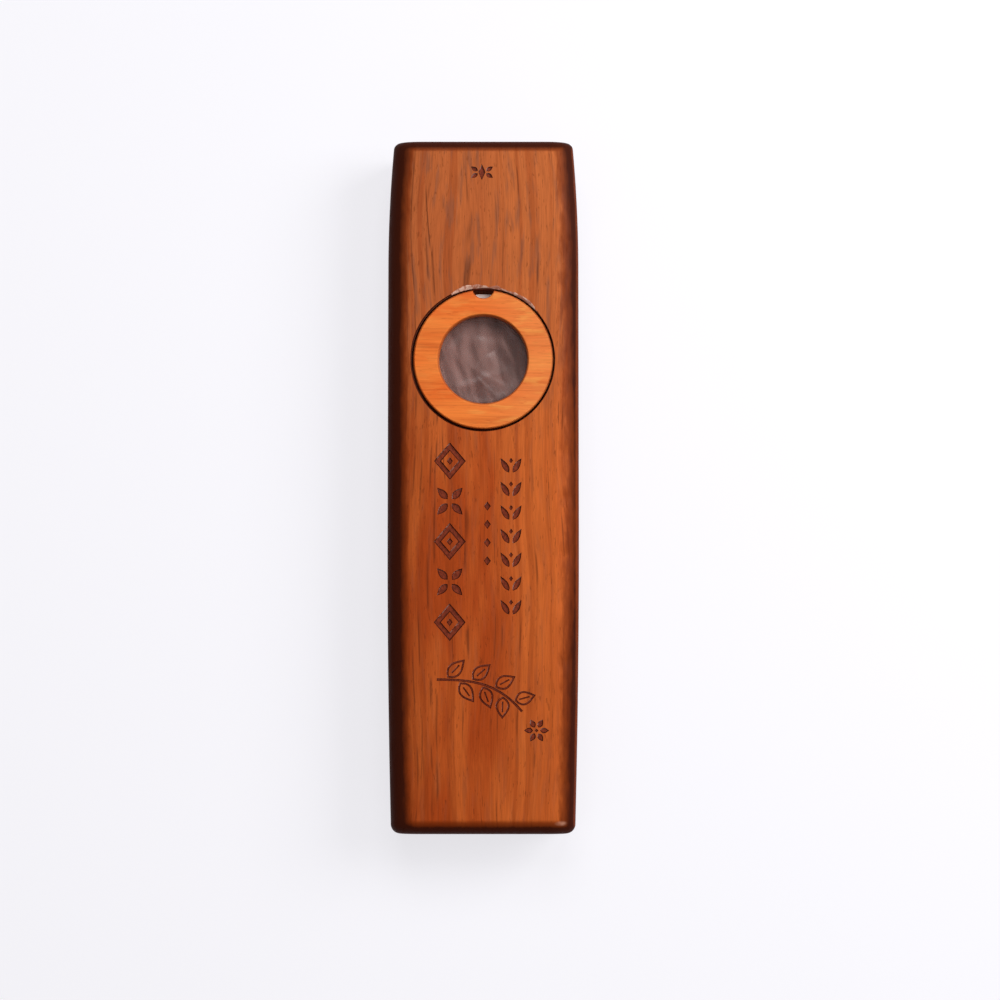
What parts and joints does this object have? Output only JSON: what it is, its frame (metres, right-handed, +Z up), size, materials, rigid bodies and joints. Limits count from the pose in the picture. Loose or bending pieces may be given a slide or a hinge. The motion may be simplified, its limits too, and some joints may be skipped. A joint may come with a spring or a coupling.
{
  "type": "wooden kazoo",
  "caption": "Flat wooden kazoo: two glued halves with a routed sound channel, and a notched wooden ring that clamps a lift-out membrane in a round well.",
  "frame": {"origin": "centre of the flat bottom face, on the surface that the kazoo rests on", "axes": "+Z up out of the face with the membrane, +Y along the body towards the mouth end, +X across the body"},
  "size_m": [0.036, 0.13, 0.016],
  "materials": {
    "body_wood": "satin",
    "ring_wood": "satin",
    "white_plastic": "satin",
    "adhesive": "gloss",
    "film": "gloss"
  },
  "bodies": {
    "body": {"body_lower_half": "body_wood", "body_upper_half": "body_wood"},
    "membrane": {"membrane_ring": "white_plastic", "membrane_adhesive": "adhesive", "membrane_film": "film"},
    "ring": {"retaining_ring": "ring_wood"}
  },
  "joints": [
    {"name": "membrane_lift", "type": "slide", "parent": "body", "child": "membrane", "axis": [0, 0, 1], "range_m": [0, 0.015]},
    {"name": "ring_lift", "type": "slide", "parent": "membrane", "child": "ring", "axis": [0, 0, 1], "range_m": [0, 0.015]}
  ]
}
